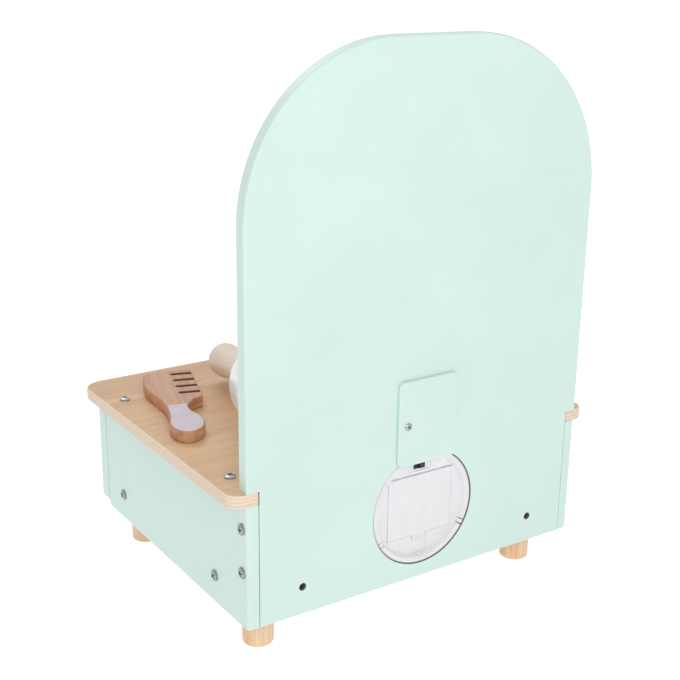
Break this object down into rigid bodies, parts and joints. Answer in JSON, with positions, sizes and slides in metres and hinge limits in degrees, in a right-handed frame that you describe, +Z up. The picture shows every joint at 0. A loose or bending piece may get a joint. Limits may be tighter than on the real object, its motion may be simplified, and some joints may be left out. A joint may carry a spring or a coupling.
{
  "type": "toy vanity table",
  "caption": "Low wooden toy vanity with an arched lit mirror panel, plywood top, drawer, round battery module and loose comb and dryer.",
  "frame": {"origin": "on the floor, under the middle of the whole object", "axes": "+Z up, -Y towards the front with the drawer and mirror, +X to the right of someone who faces the same way as +Y"},
  "size_m": [0.345, 0.2966, 0.461],
  "materials": {
    "mint_paint": "satin painted",
    "birch_ply": "clear lacquered",
    "beech": "clear lacquered",
    "box_wood": "sanded",
    "steel": "bright",
    "dark_steel": "blackened",
    "white_plastic": "satin moulded",
    "black_plastic": "matte",
    "frosted_plastic": "milky",
    "light_strip": "matte",
    "mirror_acrylic": "polished",
    "battery_skin": "gloss",
    "contact_metal": "plated",
    "green_board": "coated",
    "comb_wood": "lacquered, painted grip",
    "white_paint": "gloss painted",
    "pale_wood": "limed"
  },
  "bodies": {
    "table": {"back_panel": "mint_paint", "tabletop": "birch_ply", "side_panel_right": "mint_paint", "side_panel_left": "mint_paint", "bottom_board": "mint_paint", "foot_front_right": "beech", "foot_front_left": "beech", "foot_rear_right": "beech", "foot_rear_left": "beech", "tabletop_screws": "steel", "side_screws": "steel", "back_screws": "dark_steel", "foot_screws": "steel", "mirror_sheet": "mirror_acrylic", "light_diffuser": "frosted_plastic", "led_strip": "light_strip", "cover_plate": "mint_paint", "cover_plate_screw": "steel", "module_housing": "white_plastic", "module_inner_cover": "white_plastic", "module_screws": "steel", "batteries": "battery_skin", "battery_contacts": "contact_metal", "circuit_board": "green_board", "switch_body": "black_plastic"},
    "drawer": {"drawer_front": "mint_paint", "drawer_inner_front": "box_wood", "drawer_side_right": "box_wood", "drawer_side_left": "box_wood", "drawer_back": "box_wood", "drawer_bottom": "box_wood", "drawer_dowels": "beech", "drawer_screws": "steel", "drawer_knob": "beech", "knob_screw": "steel"},
    "door": {"battery_door": "white_plastic"},
    "slider": {"switch_slider": "black_plastic"},
    "comb": {"comb": "comb_wood"},
    "dryer": {"dryer_body": "white_paint", "dryer_nozzle": "pale_wood", "dryer_handle": "pale_wood"}
  },
  "joints": [
    {"name": "drawer_slide", "type": "slide", "parent": "table", "child": "drawer", "axis": [0, -1, 0], "range_m": [0, 0.15]},
    {"name": "door_hinge", "type": "hinge", "parent": "table", "child": "door", "pos_m": [0, 0.1375, 0.1215], "axis": [1, 0, 0], "range_deg": [0, 30]},
    {"name": "switch_slide", "type": "slide", "parent": "table", "child": "slider", "axis": [1, 0, 0], "range_m": [0, 0.0034]},
    {"name": "comb_lift", "type": "slide", "parent": "table", "child": "comb", "axis": [0, 0, 1], "range_m": [0, 0.06]},
    {"name": "dryer_lift", "type": "slide", "parent": "table", "child": "dryer", "axis": [0, 0, 1], "range_m": [0, 0.06]}
  ]
}
